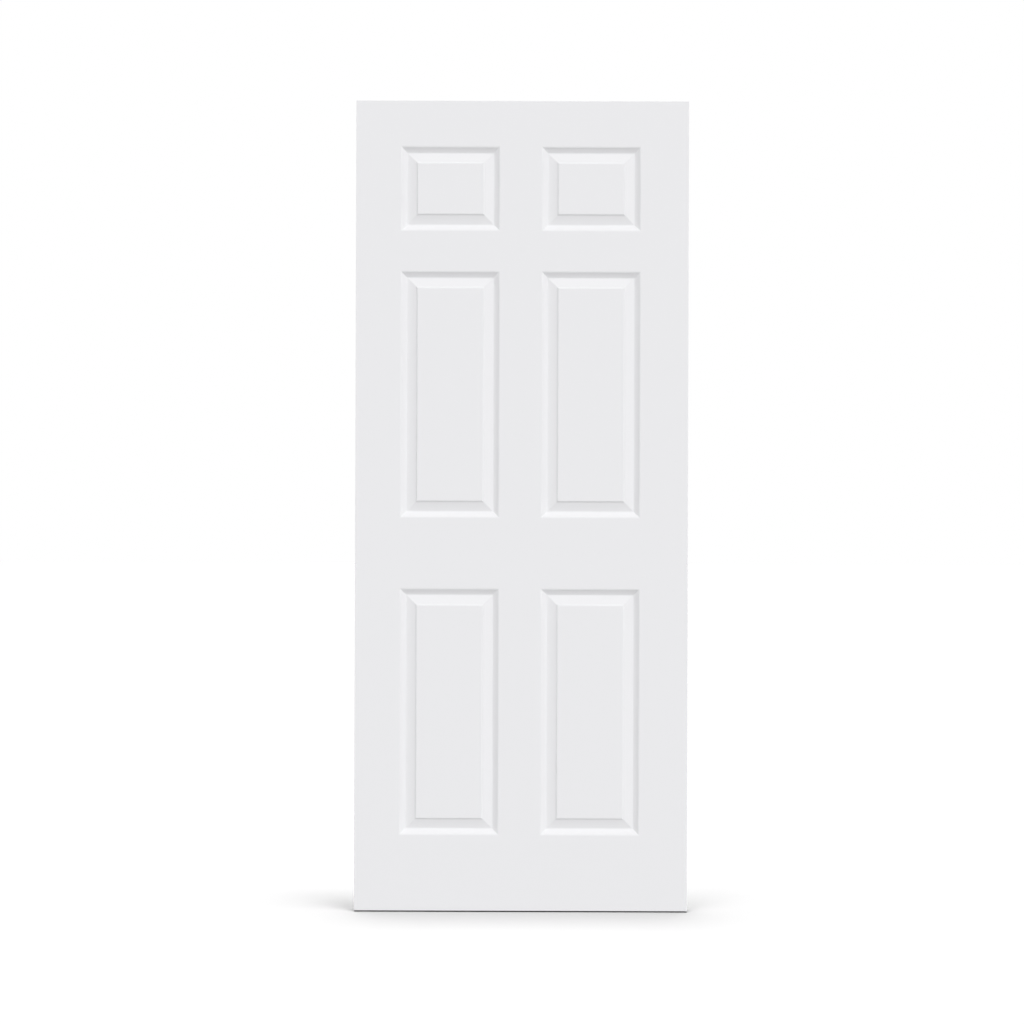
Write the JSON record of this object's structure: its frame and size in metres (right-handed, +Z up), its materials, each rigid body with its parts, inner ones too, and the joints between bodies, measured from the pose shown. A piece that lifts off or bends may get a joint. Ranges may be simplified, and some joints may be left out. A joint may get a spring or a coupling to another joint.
{
  "type": "door leaf",
  "caption": "White PVC door leaf with raised panels moulded into both skins, bonded to a perimeter frame of stiles and rails; a blank slab that is hung by its left edge",
  "frame": {"origin": "foot of the hinge edge, which is the left edge seen from the front, half way through the thickness", "axes": "+X from the hinge edge to the latch edge, +Y from the front face to the back face, +Z up"},
  "size_m": [0.835, 0.035, 2.032],
  "materials": {
    "skin": "white rigid PVC sheet, moulded, satin",
    "frame": "white cellular PVC bar, sawn and sanded, matt"
  },
  "bodies": {
    "root": {"front_skin": "skin", "back_skin": "skin", "left_stile": "frame", "right_stile": "frame", "top_rail": "frame", "bottom_rail": "frame", "left_lock_block": "frame", "right_lock_block": "frame"}
  },
  "joints": []
}
